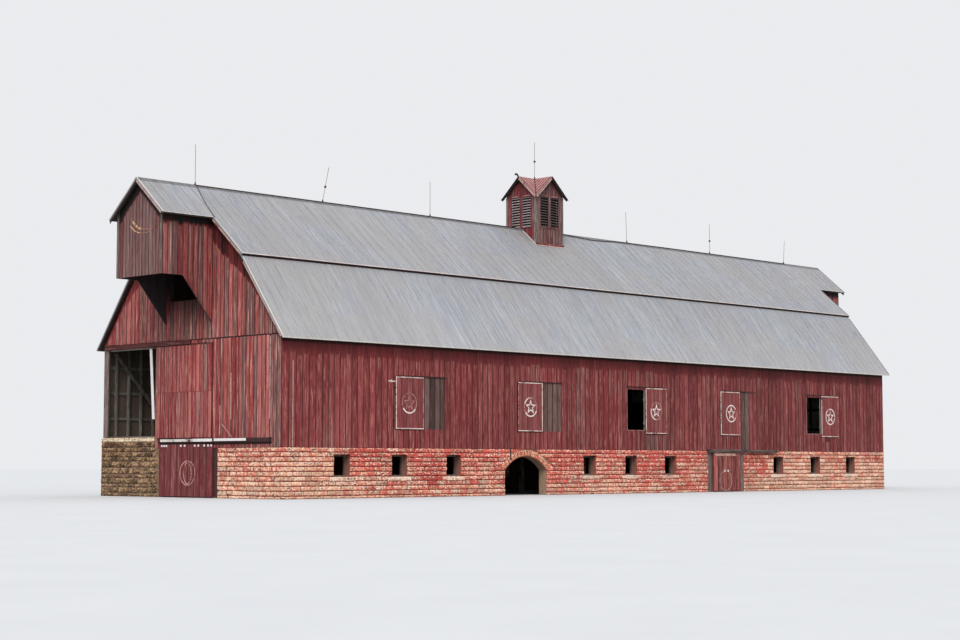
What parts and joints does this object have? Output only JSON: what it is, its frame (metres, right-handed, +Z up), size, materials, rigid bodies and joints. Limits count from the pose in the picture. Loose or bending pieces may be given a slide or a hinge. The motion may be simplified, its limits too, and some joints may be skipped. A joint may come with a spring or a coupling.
{
  "type": "gambrel-roofed bank barn",
  "caption": "Long gambrel-roofed board barn on a rock-faced stone storey, with a hay hood at each gable, a louvred roof cupola, sliding doors, loft shutters and lightning rods.",
  "frame": {"origin": "middle of the building's base on the ground", "axes": "+X along the ridge, from the wagon door's gable towards the other gable; +Y from the long wall with the arched passage towards the rear; +Z up"},
  "size_m": [24.72, 6.43, 8.833],
  "materials": {
    "rock_faced_stone": "rock-faced coursed stone with a worn red wash",
    "buff_stone": "bare buff stone",
    "bare_timber": "bare weathered grey timber",
    "red_boards": "weathered dark red paint on boards",
    "dark_timber": "rough timber, never painted",
    "faded_white_boards": "flaking white paint on boards",
    "galvanised_roof": "ribbed galvanised sheet, dull",
    "grey_louvres": "weathered grey boards",
    "faded_red_roof": "ribbed sheet with faded red paint",
    "dark_iron": "rusted iron"
  },
  "bodies": {
    "root": {"front_stone_west": "rock_faced_stone", "front_stone_arch": "rock_faced_stone", "front_stone_middle": "rock_faced_stone", "front_stone_east": "rock_faced_stone", "arch_ring": "buff_stone", "rear_stone_wall": "rock_faced_stone", "west_gable_stone_south": "rock_faced_stone", "west_gable_stone_north": "buff_stone", "east_gable_stone": "rock_faced_stone", "window_sills": "buff_stone", "window_frames": "bare_timber", "stable_door_frames": "bare_timber", "basement_posts": "bare_timber", "floor_frame": "bare_timber", "main_floor": "bare_timber", "front_siding": "red_boards", "rear_siding": "red_boards", "west_gable_lower": "red_boards", "west_gable_upper": "red_boards", "east_gable_siding": "red_boards", "long_wall_frames": "dark_timber", "gable_frames": "dark_timber", "rafters": "dark_timber", "hay_hoods": "red_boards", "leaning_jamb_board": "faded_white_boards", "lower_roof": "galvanised_roof", "upper_roof": "galvanised_roof", "hood_roofs": "galvanised_roof", "ridge_cap": "galvanised_roof", "rake_boards": "faded_white_boards", "shutters": "red_boards", "shutter_rails": "dark_timber", "wagon_door_gear": "red_boards", "west_door_gear": "faded_white_boards", "front_door_gear": "bare_timber", "cupola_walls": "red_boards", "cupola_louvres": "grey_louvres", "cupola_roof": "faded_red_roof", "lightning_rods": "dark_iron"},
    "wagon_leaf": {"wagon_door": "red_boards", "wagon_door_hangers": "dark_iron"},
    "west_leaf": {"west_stable_door": "red_boards", "west_door_hangers": "dark_iron"},
    "front_leaf": {"front_stable_door": "red_boards", "front_door_hangers": "dark_iron"}
  },
  "joints": [
    {"name": "wagon_door_slide", "type": "slide", "parent": "root", "child": "wagon_leaf", "axis": [0, 1, 0], "range_m": [0, 1.895]},
    {"name": "west_door_slide", "type": "slide", "parent": "root", "child": "west_leaf", "axis": [0, -1, 0], "range_m": [0, 1.84]},
    {"name": "front_door_slide", "type": "slide", "parent": "root", "child": "front_leaf", "axis": [1, 0, 0], "range_m": [0, 1.2]}
  ]
}
